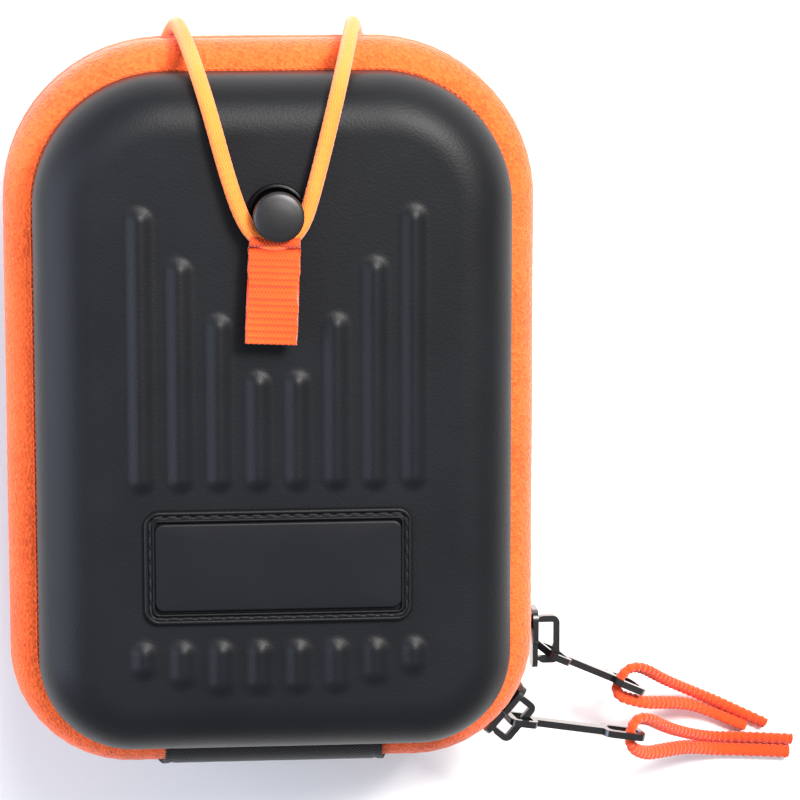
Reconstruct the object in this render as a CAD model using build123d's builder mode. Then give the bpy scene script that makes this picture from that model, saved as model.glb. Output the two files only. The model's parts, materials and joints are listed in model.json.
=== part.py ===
"""Hard-shell carrying case for a hand-held laser rangefinder.

Two moulded shells, each edged with half of a knitted gusset, close face to face on a
zip that runs from one end of the bottom hinge round to the other.  An elastic cord
comes out of the back, goes over the top and hooks under a knob on the front.

The case lies on its back: +Z out of the front face, +Y towards the top, +X to the
right.  The origin is the middle of the belt strap's outer face, which it rests on.
All sizes are in millimetres.
"""

import os
from math import cos, radians, sin, tan

from build123d import *

# ---- shells
SHELL_W, SHELL_H = 93.3, 133.5      # outline of both shells
TOP_R, BOTTOM_R = 26.0, 18.5        # plan corner radii of that outline
EDGE_R = 11.0                       # rounding between face and side wall
WALL, LINING = 2.0, 0.8             # moulded foam wall, and the fleece inside it
BACK_Z, MID_Z, FACE_Z = 6.0, 28.5, 56.0
RIM = 10.0                          # from the zip line to either shell's rim
EDGE_GAP = 0.3                      # half the gap between the two zip tapes

# ---- gusset, measured outward from the shells' outline and up from the zip line
BULGE = 5.7                         # how far the gusset stands out
TAPE = 0.8
SHOULDER_R, SHOULDER_V = 6.0, 4.0   # outer curve of the gusset and its centre's height
FLANGE = 3.4                        # gusset edge glued under the shell's rim
COIL_T, COIL_W = 1.4, 1.5

# ---- bottom hinge
HINGE_W, HINGE_T = 45.0, 0.7
HINGE_Y = -(SHELL_H / 2 + BULGE + HINGE_T + 0.05)

# ---- front face
RIB_PITCH, RIB_W, RIB_T = 7.54, 4.8, 1.1
RIB_TOPS = [10.5, 21.7, 32.6, 42.5]         # from the middle pair outward
RIB_FEET = [-54.0, -54.0, -52.5, -50.5]
BADGE_W, BADGE_H, BADGE_Y, BADGE_R = 52.3, 22.5, -28.0, 3.0
PANEL_W, PANEL_H, PANEL_R = 48.2, 17.4, 1.8
BADGE_T, PANEL_T, GROOVE = 1.2, 1.1, 0.9

# ---- knob
KNOB_Y = 41.0
BASE_R, POST_R, CAP_R, SHANK_R = 5.8, 2.2, 4.9, 1.6
BASE_T, CAP_Z, CAP_T = 1.3, 61.6, 2.5

# ---- belt strap
STRAP_W, STRAP_T = 38.0, 1.3
STRAP_TOP, STRAP_BOTTOM, SEAM = 42.0, -48.0, 11.0

# ---- elastic closure
CORD_R = 1.5
EYELET_X, EYELET_Y = 23.0, 51.5
TAB_W, TAB_FOOT, TAB_X, TAB_TURN = 10.0, 16.0, -0.6, -2.6

# ---- zip sliders, built lying on the zip line and pointing up it
SLIDER_L, SLIDER_W, PLATE_T = 12.2, 8.4, 1.1
OUTER_PLATE, INNER_PLATE = BULGE + 0.55, 0.5    # nearer face of each from the outline
BAIL_H, BAIL_L, BAIL_T, BAIL_W = 4.7, 9.8, 1.3, 1.7
PIVOT_OUT = OUTER_PLATE + PLATE_T + 1.95
PIVOT_A_ALONG, PIVOT_B_ALONG = -2.9, -1.0       # along the bail from the slider's middle
SLIDER_A_Y, SLIDER_B_ANGLE = -49.8, -40.0
PULL_A_TURN, PULL_B_TURN = -29.5, -10.75        # heading of each pull seen from above
DROOP_A, DROOP_B = 31.0, 9.0                    # slope of each pull towards the ground
PULL_L, PULL_T, PULL_W, HEAD_W = 29.4, 1.4, 4.4, 7.2
BRAID_R = 1.1

corner = Vector(SHELL_W / 2 - BOTTOM_R, -SHELL_H / 2 + BOTTOM_R, MID_Z)
ribs = [(side * (i + 0.5) * RIB_PITCH, i) for i in range(4) for side in (-1, 1)]
os.makedirs("parts", exist_ok=True)


def keep(piece, label):
    """Label a finished piece and write it."""
    piece.part.label = label
    export_step(piece.part, f"parts/{label}.step")


def case_outline(inset=0.0):
    """Sketch the shells' outline, moved in by inset, in the open BuildSketch."""
    Rectangle(SHELL_W - 2 * inset, SHELL_H - 2 * inset)
    fillet(vertices().group_by(Axis.Y)[-1], TOP_R - inset)
    fillet(vertices().group_by(Axis.Y)[0], BOTTOM_R - inset)


def tray(inset, floor_z, rim_z, wall):
    """A tray of even wall, in the open BuildPart, from its floor to its rim."""
    with BuildSketch(Plane.XY.offset(rim_z)) as outline:
        case_outline(inset)
    extrude(outline.sketch, amount=floor_z - rim_z)
    upward = Axis.Z if floor_z < rim_z else -Axis.Z
    fillet(faces().sort_by(upward)[0].edges(), EDGE_R - inset)
    offset(amount=-wall, openings=faces().sort_by(upward)[-1])


# ================= shells
def shell_holes(z0, z1, places, radius):
    """Drill round holes from z0 to z1 through the open part."""
    with BuildSketch(Plane.XY.offset(z0)) as holes:
        with Locations(*places):
            Circle(radius)
    extrude(holes.sketch, amount=z1 - z0, mode=Mode.SUBTRACT)


eyelets = [(-EYELET_X, EYELET_Y), (EYELET_X, EYELET_Y)]
knob_place = [(0, KNOB_Y)]

with BuildPart() as rear_shell:
    tray(0, BACK_Z, MID_Z - RIM, WALL)
    shell_holes(BACK_Z - 1, BACK_Z + WALL + 1, eyelets, CORD_R + 1.0)
keep(rear_shell, "rear_shell")

with BuildPart() as rear_lining:
    tray(WALL, BACK_Z + WALL, MID_Z - RIM, LINING)
    shell_holes(BACK_Z + WALL - 1, BACK_Z + WALL + LINING + 1, eyelets, CORD_R + 1.0)
keep(rear_lining, "rear_lining")

with BuildPart() as front_shell:
    tray(0, FACE_Z, MID_Z + RIM, WALL)
    for x, i in ribs:
        for top, foot in ((RIB_TOPS[i], -13.5), (-42.5, RIB_FEET[i])):
            with BuildSketch(Plane.XY.offset(FACE_Z)):
                with Locations((x, (top + foot) / 2)):
                    SlotOverall(top - foot, RIB_W, rotation=90)
            extrude(amount=RIB_T)
    fillet(faces().group_by(Axis.Z)[-1].edges(), RIB_T - 0.2)
    shell_holes(FACE_Z - WALL - 1, FACE_Z + 1, knob_place, SHANK_R + 0.1)
keep(front_shell, "front_shell")

with BuildPart() as front_lining:
    tray(WALL, FACE_Z - WALL, MID_Z + RIM, LINING)
    shell_holes(FACE_Z - WALL - LINING - 1, FACE_Z - WALL + 1, knob_place, SHANK_R + 0.1)
keep(front_lining, "front_lining")


# ================= gusset, zip and hinge strip
right, top = SHELL_W / 2, SHELL_H / 2
with BuildLine() as rim_loop:
    FilletPolyline(
        (right, -top, MID_Z), (right, top, MID_Z), (-right, top, MID_Z), (-right, -top, MID_Z),
        radius=[BOTTOM_R, TOP_R, TOP_R, BOTTOM_R], close=True,
    )
coil_end = HINGE_W / 2 + 1.5
with BuildLine() as coil_run:
    FilletPolyline(
        (coil_end, -top, MID_Z), (right, -top, MID_Z), (right, top, MID_Z),
        (-right, top, MID_Z), (-right, -top, MID_Z), (-coil_end, -top, MID_Z),
        radius=[BOTTOM_R, TOP_R, TOP_R, BOTTOM_R],
    )


def section_plane(line):
    """The plane across a path's start: X points out of the case and Y towards the lid."""
    start, along = line @ 0, line % 0
    return Plane(origin=start, x_dir=along.cross(Vector(0, 0, 1)), z_dir=-along)


def gusset_section(side):
    """Outline of one half of the gusset; side is 1 on the lid and -1 on the tray."""
    u, inner = BULGE - SHOULDER_R, SHOULDER_R - TAPE
    with BuildLine() as edge:
        outer = CenterArc((u, side * SHOULDER_V), SHOULDER_R, 0, side * 90)
        hidden = CenterArc((u, side * SHOULDER_V), inner, 0, side * 90)
        Polyline(outer @ 0, (BULGE, side * EDGE_GAP), (BULGE - TAPE, side * EDGE_GAP), hidden @ 0)
        Polyline(hidden @ 1, (-FLANGE, side * (RIM - TAPE)), (-FLANGE, side * RIM), outer @ 1)
    make_face(edge.edges())


def coil_section(side):
    """Section of one side of the zip's coil, behind its tape."""
    with Locations((BULGE - TAPE - COIL_T / 2, side * (EDGE_GAP + COIL_W / 2))):
        RectangleRounded(COIL_T, COIL_W, 0.35)


for name, side in (("front", 1), ("rear", -1)):
    with BuildPart() as gusset:
        with BuildSketch(section_plane(rim_loop.wire())):
            gusset_section(side)
        sweep(path=rim_loop.wire())
    keep(gusset, f"{name}_gusset")

    with BuildPart() as coil:
        with BuildSketch(section_plane(coil_run.wire())):
            coil_section(side)
        sweep(path=coil_run.wire())
    keep(coil, f"{name}_zip_coil")

    # a strip of the hinge wraps the gusset from the rim to the fold at the zip line
    with BuildPart() as leaf:
        reach, u = SHOULDER_R + HINGE_T, BULGE - SHOULDER_R + 0.05
        with BuildSketch(Plane((HINGE_W / 2, -top, MID_Z), x_dir=(0, -1, 0), z_dir=(-1, 0, 0))):
            with BuildLine():
                outer = CenterArc((u, side * SHOULDER_V), reach, 0, side * 86)
                inner = CenterArc((u, side * SHOULDER_V), SHOULDER_R, 0, side * 86)
                Polyline(outer @ 0, (u + reach, side * 0.1), (u + SHOULDER_R, side * 0.1), inner @ 0)
                Line(inner @ 1, outer @ 1)
            make_face()
        extrude(amount=HINGE_W)
    keep(leaf, f"{name}_hinge_leaf")

# moulded stops on the tray's side of the chain, one at each end
with BuildPart() as zip_end_stops:
    for side in (-1, 1):
        with Locations((side * (coil_end - 0.9), -top - BULGE + TAPE + COIL_T / 2, MID_Z - 1.3)):
            Box(1.6, COIL_T, 1.8)
keep(zip_end_stops, "zip_end_stops")


# ================= badge
def badge_place(height):
    return Plane((0, BADGE_Y, FACE_Z + height))


with BuildPart() as badge_frame:
    with BuildSketch(badge_place(0)):
        RectangleRounded(BADGE_W, BADGE_H, BADGE_R)
        RectangleRounded(PANEL_W + 0.3, PANEL_H + 0.3, PANEL_R + 0.15, mode=Mode.SUBTRACT)
    extrude(amount=BADGE_T)
    fillet(faces().sort_by(Axis.Z)[-1].outer_wire().edges(), 0.5)
    lane_w, lane_h = (BADGE_W + PANEL_W) / 2, (BADGE_H + PANEL_H) / 2
    with BuildSketch(badge_place(BADGE_T)):
        RectangleRounded(lane_w + GROOVE, lane_h + GROOVE, BADGE_R)
        RectangleRounded(lane_w - GROOVE, lane_h - GROOVE, BADGE_R - GROOVE, mode=Mode.SUBTRACT)
    extrude(amount=-0.5, mode=Mode.SUBTRACT)
keep(badge_frame, "badge_frame")

with BuildPart() as badge_panel:
    with BuildSketch(badge_place(0)):
        RectangleRounded(PANEL_W, PANEL_H, PANEL_R)
    extrude(amount=PANEL_T)
    fillet(faces().sort_by(Axis.Z)[-1].edges(), 0.4)
keep(badge_panel, "badge_panel")

with BuildPart() as badge_stitching:
    with BuildSketch(badge_place(BADGE_T - 0.5)):
        RectangleRounded(lane_w + 0.5, lane_h + 0.5, BADGE_R - 0.2)
        RectangleRounded(lane_w - 0.5, lane_h - 0.5, BADGE_R - 0.7, mode=Mode.SUBTRACT)
    extrude(amount=0.4)
keep(badge_stitching, "badge_stitching")

# ================= knob, riveted through the lid
knob_axis = Axis((0, KNOB_Y, 0), (0, 0, 1))
knob_plane = Plane((0, KNOB_Y, 0), x_dir=(1, 0, 0), z_dir=(0, -1, 0))
washer_z = FACE_Z - WALL - LINING
with BuildPart() as knob_base:
    with BuildSketch(knob_plane):
        with BuildLine():
            Polyline(
                (SHANK_R + 0.1, FACE_Z), (BASE_R, FACE_Z), (BASE_R, FACE_Z + 0.8),
                (BASE_R - 0.5, FACE_Z + BASE_T), (BASE_R - 1.1, FACE_Z + BASE_T),
                (BASE_R - 2.2, FACE_Z + 0.6), (SHANK_R + 0.1, FACE_Z + 0.6), close=True,
            )
        make_face()
    revolve(axis=knob_axis)
keep(knob_base, "knob_base")

with BuildPart() as knob:
    with BuildSketch(knob_plane):
        with BuildLine():
            crown = ThreePointArc(
                (0, CAP_Z + CAP_T), (CAP_R / 2, CAP_Z + CAP_T - 0.15), (CAP_R - 0.5, CAP_Z + CAP_T - 0.8)
            )
            Polyline(
                crown @ 1, (CAP_R, CAP_Z + CAP_T - 1.4), (CAP_R, CAP_Z + 0.4), (CAP_R - 0.4, CAP_Z),
                (POST_R, CAP_Z), (POST_R, FACE_Z + 0.65), (SHANK_R, FACE_Z + 0.65),
                (SHANK_R, washer_z - 1.2), (0, washer_z - 1.2), crown @ 0,
            )
        make_face()
    revolve(axis=knob_axis)
keep(knob, "knob")

with BuildPart() as knob_rivet_washer:
    with BuildSketch(knob_plane):
        with BuildLine():
            Polyline(
                (SHANK_R + 0.1, washer_z), (4.4, washer_z), (4.4, washer_z - 0.4),
                (2.8, washer_z - 1.0), (SHANK_R + 0.1, washer_z - 1.0), close=True,
            )
        make_face()
    revolve(axis=knob_axis)
keep(knob_rivet_washer, "knob_rivet_washer")

# ================= belt strap, sewn on at both ends and standing off between them
with BuildPart() as belt_strap:
    low, high = STRAP_T, BACK_Z
    foot, head = STRAP_BOTTOM, STRAP_TOP
    with BuildSketch(Plane((-STRAP_W / 2, 0, 0), x_dir=(0, 1, 0), z_dir=(1, 0, 0))):
        with BuildLine():
            Polyline(
                (foot, high), (foot + SEAM, high), (foot + SEAM + 6, low), (head - SEAM - 6, low),
                (head - SEAM, high), (head, high), (head, high - STRAP_T),
                (head - SEAM + 0.6, high - STRAP_T), (head - SEAM - 5.4, 0), (foot + SEAM + 5.4, 0),
                (foot + SEAM - 0.6, high - STRAP_T), (foot, high - STRAP_T), close=True,
            )
        make_face()
    extrude(amount=STRAP_W)
keep(belt_strap, "belt_strap")

with BuildPart() as belt_strap_stitching:
    seams = [STRAP_BOTTOM + 2, STRAP_BOTTOM + SEAM - 2.5, STRAP_TOP - SEAM + 2.5, STRAP_TOP - 2]
    with Locations(*[(0, y, BACK_Z - STRAP_T - 0.15) for y in seams]):
        Box(STRAP_W - 5, 0.9, 0.3)
keep(belt_strap_stitching, "belt_strap_stitching")

# ================= elastic closure
# the cord's route: out of the left eyelet, up the back, over the top, round under the
# knob inside the pull tab, and the same way back to the right eyelet
elastic_points = [
    (-EYELET_X, EYELET_Y, 10.2), (-EYELET_X, EYELET_Y, 3.6), (-21.4, 63.4, 3.8),
    (-18.2, 74.9, 21.5), (-17.2, 74.9, 35.5), (-13.8, 64.6, 58.1), (-8.9, 46.0, 58.5),
    (-5.9, 38.4, 59.2), (-2.6, 35.7, 59.4), (1.5, 35.7, 59.4), (4.7, 38.4, 59.2),
    (7.2, 46.0, 58.5), (11.8, 64.6, 58.1), (16.1, 74.9, 35.5), (17.4, 74.9, 21.5),
    (21.2, 63.4, 3.8), (EYELET_X, EYELET_Y, 3.6), (EYELET_X, EYELET_Y, 10.2),
]


def corner_radii(points):
    """Bend radius at each inner point: 0.45 of the shorter run over tan(half the turn)."""
    radii = []
    for a, b, c in zip(points, points[1:], points[2:]):
        before, after = Vector(*b) - Vector(*a), Vector(*c) - Vector(*b)
        half_turn = radians(before.get_angle(after)) / 2
        radii.append(0.45 * min(before.length, after.length) / tan(half_turn))
    return radii


def cord_tube(label, points, radius):
    """A plain round tube along a route, in the open BuildPart."""
    radii = corner_radii(points)
    print(label, "bend radii", [round(r, 1) for r in radii])
    with BuildLine() as route:
        FilletPolyline(*points, radius=radii)
    with BuildSketch(Plane(origin=route.line @ 0, z_dir=route.line % 0)) as section:
        Circle(radius)
    tube = sweep(section.sketch, path=route.wire())
    length = route.wire().length
    share = tube.volume / (section.sketch.area * length)
    print(f"{label}: length {length:.1f}, volume over section times length {share:.4f}")


for label, half in (("elastic_front_loop", 1), ("elastic_rear_strands", -1)):
    with BuildPart() as elastic:
        cord_tube(label, elastic_points, CORD_R)
        cut = Plane.XY.offset(MID_Z + half * 0.1)
        split(bisect_by=cut, keep=Keep.TOP if half == 1 else Keep.BOTTOM)
    keep(elastic, label)

with BuildPart() as elastic_stop_knots:
    with Locations(*[(x, y, 12.4) for x, y in eyelets]):
        Sphere(3.1)
    with BuildSketch(Plane.XY.offset(10.2)):
        with Locations(*eyelets):
            Circle(6)
    extrude(amount=-5, mode=Mode.SUBTRACT)
keep(elastic_stop_knots, "elastic_stop_knots")

hole_r = CORD_R + 0.35
with BuildPart() as cord_eyelets:
    for x, y in eyelets:
        with BuildSketch(Plane((x, y, 0), x_dir=(1, 0, 0), z_dir=(0, -1, 0))):
            with BuildLine():
                Polyline(
                    (hole_r + 0.5, BACK_Z - 0.5), (3.6, BACK_Z - 0.4), (4.0, BACK_Z),
                    (CORD_R + 0.95, BACK_Z), (CORD_R + 0.95, BACK_Z + WALL + LINING + 0.1),
                    (hole_r, BACK_Z + WALL + LINING + 0.1), (hole_r, BACK_Z + 1.2), close=True,
                )
            make_face()
        revolve(axis=Axis((x, y, 0), (0, 0, 1)))
keep(cord_eyelets, "cord_eyelets")

with BuildPart() as cord_eyelet_washers:
    with BuildSketch(Plane.XY.offset(BACK_Z + WALL + LINING)):
        with Locations(*eyelets):
            Circle(3.6)
            Circle(CORD_R + 1.0, mode=Mode.SUBTRACT)
    extrude(amount=0.6)
keep(cord_eyelet_washers, "cord_eyelet_washers")

# the tab is a folded piece of webbing: a sleeve round the cord and a flat double tail
bight_y, bight_z, tail_z = 35.7, 59.4, 60.1
tab_frame = Plane((TAB_X, bight_y, 0), x_dir=(1, 0, 0), z_dir=(0, 0, 1)).rotated((0, 0, TAB_TURN))
tab_side = Plane(tab_frame.origin, x_dir=tab_frame.y_dir, z_dir=tab_frame.x_dir)
with BuildPart() as pull_tab:
    tail = TAB_FOOT - bight_y
    with BuildSketch(tab_side.offset(-TAB_W / 2)):
        with Locations((0, bight_z)):
            Circle(CORD_R + 0.45)
        with BuildLine():
            Polyline(
                (0.3, bight_z + 1.9), (-5, tail_z + 0.9), (tail, tail_z + 1.2), (tail, tail_z - 0.6),
                (-5, tail_z - 0.9), (-1, bight_z - 1.6), close=True,
            )
        make_face()
    extrude(amount=TAB_W)
    with BuildSketch(Plane.XY.offset(bight_z - 3)):
        with Locations(knob_place):
            Circle(POST_R + 0.4)
    extrude(amount=6, mode=Mode.SUBTRACT)
keep(pull_tab, "pull_tab")

with BuildPart() as pull_tab_seam:
    with BuildSketch(tab_side.offset(-TAB_W / 2 + 0.2)):
        with Locations((-9.6, tail_z + 1.28)):
            RectangleRounded(1.6, 0.5, 0.2)
    extrude(amount=TAB_W - 0.4)
keep(pull_tab_seam, "pull_tab_seam")


# ================= sliders, pulls and their braided cord
def slider_plane(number):
    """Where a slider sits: X out of the case, Y up the zip, Z towards the lid."""
    if number == "a":
        return Plane((SHELL_W / 2, SLIDER_A_Y, MID_Z), x_dir=(1, 0, 0), z_dir=(0, 0, 1))
    turn = radians(SLIDER_B_ANGLE)
    out = Vector(cos(turn), sin(turn), 0)
    return Plane(corner + out * BOTTOM_R, x_dir=out, z_dir=(0, 0, 1))


def side_plane(place, out):
    """A plane facing out of the case at a distance from the shells' outline."""
    origin = place.origin + place.x_dir * out
    return Plane(origin, x_dir=place.y_dir, z_dir=place.x_dir)


def slider_plate(place, out, thickness):
    """One plate of a slider, wider at the end that leads up the zip."""
    with BuildSketch(side_plane(place, out)) as plate:
        with Locations((SLIDER_L * 0.2, 0)):
            RectangleRounded(SLIDER_L * 0.6, SLIDER_W, 2.2)
        with Locations((-SLIDER_L * 0.1, 0)):
            RectangleRounded(SLIDER_L * 0.8, SLIDER_W * 0.74, 1.6)
    extrude(plate.sketch, amount=thickness)


def pull_heading(number):
    turn = radians(PULL_A_TURN if number == "a" else PULL_B_TURN)
    return Vector(cos(turn), sin(turn), 0)


for number in ("a", "b"):
    place = slider_plane(number)
    plate_top = OUTER_PLATE + PLATE_T

    with BuildPart() as slider:
        slider_plate(place, OUTER_PLATE, PLATE_T)
        slider_plate(place, INNER_PLATE, 1.0)
        with BuildSketch(side_plane(place, INNER_PLATE)):
            with Locations((SLIDER_L / 2 - 3.0, 0)):
                Rectangle(3.0, 0.36)
        extrude(amount=OUTER_PLATE - INNER_PLATE)
    keep(slider, f"zip_slider_{number}")

    with BuildPart() as bail:
        across = Plane(place.origin - place.z_dir * BAIL_W / 2, x_dir=place.x_dir, z_dir=place.z_dir)
        with BuildSketch(across):
            with Locations((plate_top + BAIL_H / 2, -0.5)):
                RectangleRounded(BAIL_H, BAIL_L, 1.5)
            with Locations((plate_top + (BAIL_H - BAIL_T) / 2, -0.5)):
                Rectangle(BAIL_H - BAIL_T, BAIL_L - 2 * BAIL_T, mode=Mode.SUBTRACT)
        extrude(amount=BAIL_W)
    keep(bail, f"zip_slider_bail_{number}")

    # the pull: a flat bar on edge, its end bar held in the bail and its tip slotted
    shift = PIVOT_A_ALONG if number == "a" else PIVOT_B_ALONG
    pivot = place.origin + place.x_dir * PIVOT_OUT + place.y_dir * shift
    heading = pull_heading(number)
    droop = radians(DROOP_A if number == "a" else DROOP_B)
    along = heading * cos(droop) - Vector(0, 0, sin(droop))
    flat = Plane(pivot, x_dir=along, z_dir=heading.cross(Vector(0, 0, 1)))
    print(f"pull {number} pivot", pivot, "tip", pivot + along * (PULL_L - 0.6))
    with BuildPart() as pull:
        with BuildSketch(flat.offset(-PULL_T / 2)):
            with Locations((2.3, 0)):
                RectangleRounded(5.8, HEAD_W, 1.4)
            with Locations((PULL_L / 2, 0)):
                RectangleRounded(PULL_L - 1.2, 2.6, 0.8)
            with Locations((PULL_L - 5.1, 0)):
                RectangleRounded(9.0, PULL_W + 1.6, 1.6)
            with Locations((2.4, 0)):
                RectangleRounded(3.6, HEAD_W - 1.9, 0.6, mode=Mode.SUBTRACT)
            with Locations((PULL_L - 5.1, 0)):
                RectangleRounded(6.6, PULL_W - 1.0, 1.2, mode=Mode.SUBTRACT)
        extrude(amount=PULL_T)
    keep(pull, f"zip_pull_{number}")

# each braid is folded through its pull's slot: an upper and a lower leg from the slot
# down to the surface that the case lies on
braid_points = {
    "pull_a_braid_upper": [
        (72.8, -62.2, 17.0), (74.1, -59.9, 17.0), (77.6, -59.9, 15.0), (83.1, -64.1, 9.5),
        (89.0, -67.6, 4.5), (95.8, -71.1, 1.4), (101.4, -73.9, 1.3), (106.6, -76.4, 1.3),
    ],
    "pull_a_braid_lower": [
        (72.8, -62.2, 17.0), (71.2, -65.0, 17.0), (77.9, -67.9, 14.2), (83.4, -69.1, 9.5),
        (89.1, -70.7, 4.3), (94.3, -73.2, 1.4), (98.6, -75.2, 1.3), (102.4, -76.7, 1.3),
    ],
    "pull_b_braid_upper": [
        (74.1, -71.8, 24.4), (74.8, -68.5, 24.4), (78.6, -69.6, 20.8), (83.0, -73.3, 14.0),
        (89.2, -76.7, 7.0), (95.2, -78.8, 2.0), (101.3, -79.1, 1.3), (112.4, -79.9, 1.3),
    ],
    "pull_b_braid_lower": [
        (74.1, -71.8, 24.4), (73.7, -74.3, 24.4), (77.9, -77.6, 19.0), (83.2, -78.3, 13.5),
        (89.1, -79.4, 7.0), (95.2, -81.4, 2.0), (101.3, -81.8, 1.3), (111.8, -82.5, 1.3),
    ],
}
for label, points in braid_points.items():
    with BuildPart() as braid:
        cord_tube(label, points, BRAID_R)
    keep(braid, label)
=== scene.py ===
"""Looks of a hard-shell case for a hand-held rangefinder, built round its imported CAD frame.

Every piece is in metres in the frame's own axes: +Z out of the front face, +Y towards
the top, +X towards the zip sliders.  Sizes below are in millimetres until MM turns them.
"""

import json
import math

import bmesh
import bpy
import numpy as np
from mathutils import Matrix, Vector


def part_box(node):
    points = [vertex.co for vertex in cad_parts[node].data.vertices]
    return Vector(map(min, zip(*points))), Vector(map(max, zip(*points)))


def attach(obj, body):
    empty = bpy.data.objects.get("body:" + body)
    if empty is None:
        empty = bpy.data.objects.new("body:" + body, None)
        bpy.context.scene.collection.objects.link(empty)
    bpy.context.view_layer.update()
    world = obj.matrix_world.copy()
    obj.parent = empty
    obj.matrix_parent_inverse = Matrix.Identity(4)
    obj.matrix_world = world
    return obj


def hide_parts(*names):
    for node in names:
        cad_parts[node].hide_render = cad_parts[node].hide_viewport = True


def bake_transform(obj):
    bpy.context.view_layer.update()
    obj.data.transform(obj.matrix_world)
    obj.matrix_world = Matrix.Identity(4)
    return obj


bl_info = {
    "name": "Rangefinder Case",
    "version": (1, 0, 0),
    "blender": (4, 5, 0),
    "location": "View3D > Sidebar > Case",
    "description": "Builds the shells, gusset, zip, badge, cord and braids of a hard-shell case",
    "category": "Add Mesh",
}

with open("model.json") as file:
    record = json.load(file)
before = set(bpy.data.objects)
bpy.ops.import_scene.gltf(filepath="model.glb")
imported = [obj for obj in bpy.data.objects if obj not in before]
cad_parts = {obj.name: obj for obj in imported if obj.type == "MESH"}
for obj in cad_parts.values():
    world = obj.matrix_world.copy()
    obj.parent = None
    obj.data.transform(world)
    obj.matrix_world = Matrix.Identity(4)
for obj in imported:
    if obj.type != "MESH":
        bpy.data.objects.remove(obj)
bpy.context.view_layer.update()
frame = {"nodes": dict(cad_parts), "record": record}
MM = 0.001

# ---- sizes read from the frame, in millimetres
shell_low, shell_high = (np.array(c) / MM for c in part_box("front_shell"))
rear_low, rear_high = (np.array(c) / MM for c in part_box("rear_shell"))
gusset_high = np.array(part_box("front_gusset")[1]) / MM
leaf_high = np.array(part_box("front_hinge_leaf")[1]) / MM
knob_low, knob_high = (np.array(c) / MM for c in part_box("knob"))
badge_low, badge_high = (np.array(c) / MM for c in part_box("badge_frame"))
strap_low, strap_high = (np.array(c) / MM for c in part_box("belt_strap"))
SHELL_W, SHELL_H = shell_high[0] * 2, shell_high[1] * 2
RIB_T = 1.1
FACE_Z, RIM_Z = shell_high[2] - RIB_T, shell_low[2]
BACK_Z, REAR_RIM_Z = rear_low[2], rear_high[2]
MID_Z = (RIM_Z + REAR_RIM_Z) / 2
BULGE = gusset_high[0] - shell_high[0]
TOP_R, BOTTOM_R, EDGE_R = 26.0, 18.5, 11.0
WALL, LINING = 2.0, 0.8
KNOB_Y = (knob_low[1] + knob_high[1]) / 2

# ---- finishes that the solids leave plain, in millimetres
RIB_PITCH = 7.54
RIB_TOPS, RIB_FEET = [10.5, 21.7, 32.6, 42.5], [-54.0, -54.0, -52.5, -50.5]
LONG_RIB_FOOT, SHORT_RIB_TOP = -13.5, -42.5
SHOULDER_R, SHOULDER_V, TAPE, FLANGE, RIM = 6.0, 4.0, 0.8, 3.4, 10.0
COIL_PITCH, COIL_WIRE_R = 1.3, 0.2
RIM_STITCHES = 330
ELASTIC_D, BRAID_D, BRAID_W, BRAID_T = 3.0, 2.4, 2.9, 2.0
EYELET_X, EYELET_Y, KNOT_Z, KNOT_CORD_R = 23.0, 51.5, 12.4, 1.15
KNOT_POINTS = 160

# The elastic's route repeats the CAD tube's: left eyelet, over the top, round under the
# knob inside the tab, and back to the right eyelet.
ELASTIC_ROUTE = [
    (-23.0, 51.5, 10.2), (-23.0, 51.5, 3.6), (-21.4, 63.4, 3.8), (-18.2, 74.9, 21.5),
    (-17.2, 74.9, 35.5), (-13.8, 64.6, 58.1), (-8.9, 46.0, 58.5), (-5.9, 38.4, 59.2),
    (-2.6, 35.7, 59.4), (1.5, 35.7, 59.4), (4.7, 38.4, 59.2), (7.2, 46.0, 58.5),
    (11.8, 64.6, 58.1), (16.1, 74.9, 35.5), (17.4, 74.9, 21.5), (21.2, 63.4, 3.8),
    (23.0, 51.5, 3.6), (23.0, 51.5, 10.2),
]
BRAID_ROUTES = {
    "pull_a_braid_upper": [
        (72.8, -62.2, 17.0), (74.1, -59.9, 17.0), (77.6, -59.9, 15.0), (83.1, -64.1, 9.5),
        (89.0, -67.6, 4.5), (95.8, -71.1, 1.4), (101.4, -73.9, 1.3), (106.6, -76.4, 1.3),
    ],
    "pull_a_braid_lower": [
        (72.8, -62.2, 17.0), (71.2, -65.0, 17.0), (77.9, -67.9, 14.2), (83.4, -69.1, 9.5),
        (89.1, -70.7, 4.3), (94.3, -73.2, 1.4), (98.6, -75.2, 1.3), (102.4, -76.7, 1.3),
    ],
    "pull_b_braid_upper": [
        (74.1, -71.8, 24.4), (74.8, -68.5, 24.4), (78.6, -69.6, 20.8), (83.0, -73.3, 14.0),
        (89.2, -76.7, 7.0), (95.2, -78.8, 2.0), (101.3, -79.1, 1.3), (112.4, -79.9, 1.3),
    ],
    "pull_b_braid_lower": [
        (74.1, -71.8, 24.4), (73.7, -74.3, 24.4), (77.9, -77.6, 19.0), (83.2, -78.3, 13.5),
        (89.1, -79.4, 7.0), (95.2, -81.4, 2.0), (101.3, -81.8, 1.3), (111.8, -82.5, 1.3),
    ],
}


# ======================================================================= properties
class CaseColours(bpy.types.PropertyGroup):
    """The colours that a maker would choose, as sRGB hex values."""

    skin: bpy.props.StringProperty(
        name="Shell skin", description="Polyurethane skin of both shells", default="0D0E11"
    )
    knit: bpy.props.StringProperty(
        name="Gusset knit", description="Stretch knit round the zip", default="F2642A"
    )
    elastic: bpy.props.StringProperty(
        name="Elastic", description="Braided cover of the elastic cord", default="F98A3C"
    )
    webbing: bpy.props.StringProperty(
        name="Pull tab", description="Webbing of the pull tab", default="F2541A"
    )
    braid: bpy.props.StringProperty(
        name="Pull braid", description="Braid on the zip pulls", default="F04A16"
    )


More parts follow.
